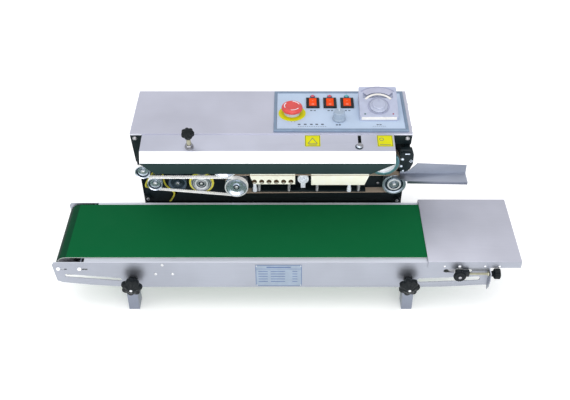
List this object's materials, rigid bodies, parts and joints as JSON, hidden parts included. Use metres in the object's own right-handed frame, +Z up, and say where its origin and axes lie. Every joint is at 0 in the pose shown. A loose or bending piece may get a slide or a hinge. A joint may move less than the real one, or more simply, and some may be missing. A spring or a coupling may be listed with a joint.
{
  "type": "continuous band sealer",
  "caption": "Table-top continuous band sealer: a stainless head with heated jaws and moving bands over a green belt conveyor with an end table and clamp-height legs.",
  "frame": {"origin": "on the table, at the centre of the whole machine's footprint", "axes": "+X along the conveyor towards the infeed end and its end table, +Y from the conveyor towards the back of the sealing head, +Z up"},
  "size_m": [0.846, 0.368, 0.324],
  "materials": {
    "stainless": "fine brushed",
    "mirror_steel": "satin",
    "black_paint": "semi-gloss",
    "grey_paint": "satin",
    "chrome": "polished",
    "steel": "turned",
    "cream": "heat-proof coating, matte",
    "black_plastic": "moulded",
    "bezel": "moulded",
    "face": "printed film",
    "clear_grey": "smoked clear",
    "red": "moulded",
    "orange": "translucent moulded",
    "yellow": "moulded",
    "lamp": "lens",
    "rubber": "moulded",
    "green_belt": "PVC belt, matte",
    "white_belt": "moulded teeth",
    "seal_band": "glass cloth with non-stick coating",
    "lead_sleeve": "glass-fibre sleeve",
    "emboss": "silicone rim",
    "white_plastic": "moulded"
  },
  "bodies": {
    "head": {"base_pan": "black_paint", "rubber_feet": "rubber", "mechanism_plate": "black_paint", "left_side_plate": "black_paint", "right_side_plate": "black_paint", "top_cover": "stainless", "safety_guard": "stainless", "back_cover": "stainless", "head_screws": "chrome", "support_arms": "mirror_steel", "infeed_tray": "stainless", "panel_bezel": "bezel", "panel_face": "face", "indicator_lamps": "lamp", "rocker_frames": "black_plastic", "estop_base": "yellow", "thermostat_housing": "clear_grey", "heating_blocks": "cream", "cooling_blocks": "cream", "block_posts": "chrome", "seal_bands": "seal_band", "guide_belts": "white_belt", "heater_leads": "lead_sleeve", "drive_gearmotor": "grey_paint", "fan_housing": "black_plastic", "power_inlet": "black_plastic"},
    "conveyor": {"front_rail": "stainless", "rear_rail": "stainless", "slider_bed": "mirror_steel", "conveyor_belt": "green_belt", "end_table": "stainless", "roller_bearings": "black_plastic"},
    "tail_carriage": {"tail_carriage": "steel"},
    "lower_drive": {"lower_drive_wheel": "chrome", "lower_drive_gear": "steel"},
    "upper_drive": {"upper_drive_wheel": "chrome", "upper_drive_gear": "steel"},
    "lower_guide_pulley": {"lower_guide_pulley": "chrome"},
    "upper_guide_pulley": {"upper_guide_pulley": "chrome"},
    "lower_emboss_wheel": {"lower_emboss_wheel": "chrome"},
    "upper_emboss_wheel": {"upper_emboss_wheel": "chrome"},
    "guide_idler": {"guide_idler": "black_plastic"},
    "press_roller": {"press_roller": "white_plastic"},
    "lower_infeed_pulley": {"lower_infeed_pulley": "chrome"},
    "upper_infeed_pulley": {"upper_infeed_pulley": "chrome"},
    "drive_roller": {"drive_roller": "steel"},
    "left_roller": {"left_roller": "steel"},
    "tail_roller": {"tail_roller": "steel"},
    "fan_rotor": {"fan_rotor": "black_plastic"},
    "rocker_1": {"rocker_1": "orange"},
    "rocker_2": {"rocker_2": "orange"},
    "rocker_3": {"rocker_3": "orange"},
    "estop_button": {"estop_button": "red"},
    "speed_knob": {"speed_knob": "clear_grey"},
    "thermostat_dial": {"thermostat_dial": "clear_grey"},
    "pressure_knob": {"pressure_knob": "black_plastic"},
    "left_leg_knob": {"left_leg_knob": "black_plastic"},
    "right_leg_knob": {"right_leg_knob": "black_plastic"},
    "clamp_knob": {"clamp_knob": "black_plastic"},
    "tension_screw": {"tension_screw": "black_plastic"}
  },
  "joints": [
    {"name": "lower_drive_spin", "type": "hinge", "parent": "head", "child": "lower_drive", "pos_m": [-0.097, 0.035, 0.15605], "axis": [0, -1, 0], "continuous": true},
    {"name": "upper_drive_spin", "type": "hinge", "parent": "head", "child": "upper_drive", "pos_m": [-0.11784, 0.035, 0.20095], "axis": [0, -1, 0], "continuous": true},
    {"name": "lower_guide_spin", "type": "hinge", "parent": "head", "child": "lower_guide_pulley", "pos_m": [-0.253, 0.035, 0.16405], "axis": [0, -1, 0], "continuous": true},
    {"name": "upper_guide_spin", "type": "hinge", "parent": "head", "child": "upper_guide_pulley", "pos_m": [-0.2735, 0.035, 0.19295], "axis": [0, -1, 0], "continuous": true},
    {"name": "lower_emboss_spin", "type": "hinge", "parent": "head", "child": "lower_emboss_wheel", "pos_m": [-0.165, 0.035, 0.1582], "axis": [0, -1, 0], "continuous": true},
    {"name": "upper_emboss_spin", "type": "hinge", "parent": "head", "child": "upper_emboss_wheel", "pos_m": [-0.163, 0.035, 0.1988], "axis": [0, -1, 0], "continuous": true},
    {"name": "idler_spin", "type": "hinge", "parent": "head", "child": "guide_idler", "pos_m": [-0.211, 0.035, 0.158], "axis": [0, -1, 0], "continuous": true},
    {"name": "press_roller_spin", "type": "hinge", "parent": "head", "child": "press_roller", "pos_m": [0.0315, 0.033, 0.16695], "axis": [0, -1, 0], "continuous": true},
    {"name": "lower_infeed_spin", "type": "hinge", "parent": "head", "child": "lower_infeed_pulley", "pos_m": [0.207, 0.035, 0.1575], "axis": [0, -1, 0], "continuous": true},
    {"name": "upper_infeed_spin", "type": "hinge", "parent": "head", "child": "upper_infeed_pulley", "pos_m": [0.184, 0.035, 0.20945], "axis": [0, -1, 0], "continuous": true},
    {"name": "conveyor_height", "type": "slide", "parent": "head", "child": "conveyor", "axis": [0, 0, 1], "range_m": [-0.004, 0.02]},
    {"name": "drive_roller_spin", "type": "hinge", "parent": "conveyor", "child": "drive_roller", "pos_m": [-0.2225, -0.071, 0.1024], "axis": [0, -1, 0], "continuous": true},
    {"name": "left_roller_spin", "type": "hinge", "parent": "conveyor", "child": "left_roller", "pos_m": [-0.399, -0.071, 0.1024], "axis": [0, -1, 0], "continuous": true},
    {"name": "tension_slide", "type": "slide", "parent": "conveyor", "child": "tail_carriage", "axis": [1, 0, 0], "range_m": [-0.008, 0]},
    {"name": "tail_roller_spin", "type": "hinge", "parent": "tail_carriage", "child": "tail_roller", "pos_m": [0.312, -0.071, 0.1024], "axis": [0, -1, 0], "continuous": true},
    {"name": "tension_turn", "type": "hinge", "parent": "conveyor", "child": "tension_screw", "pos_m": [0.35, -0.1602, 0.1005], "axis": [1, 0, 0], "range_deg": [-2880, 0]},
    {"name": "clamp_turn", "type": "hinge", "parent": "tail_carriage", "child": "clamp_knob", "pos_m": [0.312, -0.175, 0.1024], "axis": [0, -1, 0], "range_deg": [0, 540]},
    {"name": "left_clamp_turn", "type": "hinge", "parent": "conveyor", "child": "left_leg_knob", "pos_m": [-0.2815, -0.17, 0.08], "axis": [0, -1, 0], "range_deg": [0, 540]},
    {"name": "right_clamp_turn", "type": "hinge", "parent": "conveyor", "child": "right_leg_knob", "pos_m": [0.2215, -0.17, 0.08], "axis": [0, -1, 0], "range_deg": [0, 540]},
    {"name": "fan_spin", "type": "hinge", "parent": "head", "child": "fan_rotor", "pos_m": [0.12, 0.165, 0.12], "axis": [0, -1, 0], "continuous": true},
    {"name": "rocker_1_tilt", "type": "hinge", "parent": "head", "child": "rocker_1", "pos_m": [0.0494, 0.104, 0.2915], "axis": [-1, 0, 0], "range_deg": [0, 18]},
    {"name": "rocker_2_tilt", "type": "hinge", "parent": "head", "child": "rocker_2", "pos_m": [0.0819, 0.104, 0.2915], "axis": [-1, 0, 0], "range_deg": [0, 18]},
    {"name": "rocker_3_tilt", "type": "hinge", "parent": "head", "child": "rocker_3", "pos_m": [0.1144, 0.104, 0.2915], "axis": [-1, 0, 0], "range_deg": [0, 18]},
    {"name": "estop_press", "type": "slide", "parent": "head", "child": "estop_button", "axis": [0, 0, -1], "range_m": [0, 0.005]},
    {"name": "speed_turn", "type": "hinge", "parent": "head", "child": "speed_knob", "pos_m": [0.097, 0.052, 0.3], "axis": [0, 0, 1], "range_deg": [-150, 150]},
    {"name": "thermostat_turn", "type": "hinge", "parent": "head", "child": "thermostat_dial", "pos_m": [0.171, 0.07174, 0.30763], "axis": [0, -0.2552, 0.9669], "range_deg": [-270, 0]},
    {"name": "pressure_turn", "type": "hinge", "parent": "head", "child": "pressure_knob", "pos_m": [-0.1745, -0.024, 0.28457], "axis": [0, -0.1232, 0.9924], "range_deg": [-360, 360]}
  ],
  "couplings": [
    {"joint": "upper_drive_spin", "follows": "lower_drive_spin", "ratio": -1},
    {"joint": "lower_guide_spin", "follows": "lower_drive_spin", "ratio": 1.5904},
    {"joint": "upper_guide_spin", "follows": "lower_drive_spin", "ratio": -1.5904},
    {"joint": "lower_emboss_spin", "follows": "lower_drive_spin", "ratio": 1.1025},
    {"joint": "upper_emboss_spin", "follows": "lower_drive_spin", "ratio": -1.1025},
    {"joint": "idler_spin", "follows": "lower_drive_spin", "ratio": 1.26},
    {"joint": "press_roller_spin", "follows": "lower_drive_spin", "ratio": 2.0802},
    {"joint": "lower_infeed_spin", "follows": "lower_drive_spin", "ratio": 1.0704},
    {"joint": "upper_infeed_spin", "follows": "lower_drive_spin", "ratio": -0.72177},
    {"joint": "drive_roller_spin", "follows": "lower_drive_spin", "ratio": 1.0352},
    {"joint": "left_roller_spin", "follows": "lower_drive_spin", "ratio": 1.0352},
    {"joint": "tail_roller_spin", "follows": "lower_drive_spin", "ratio": 1.0352},
    {"joint": "tension_turn", "follows": "tension_slide", "rad_per_m": 6283.2}
  ]
}
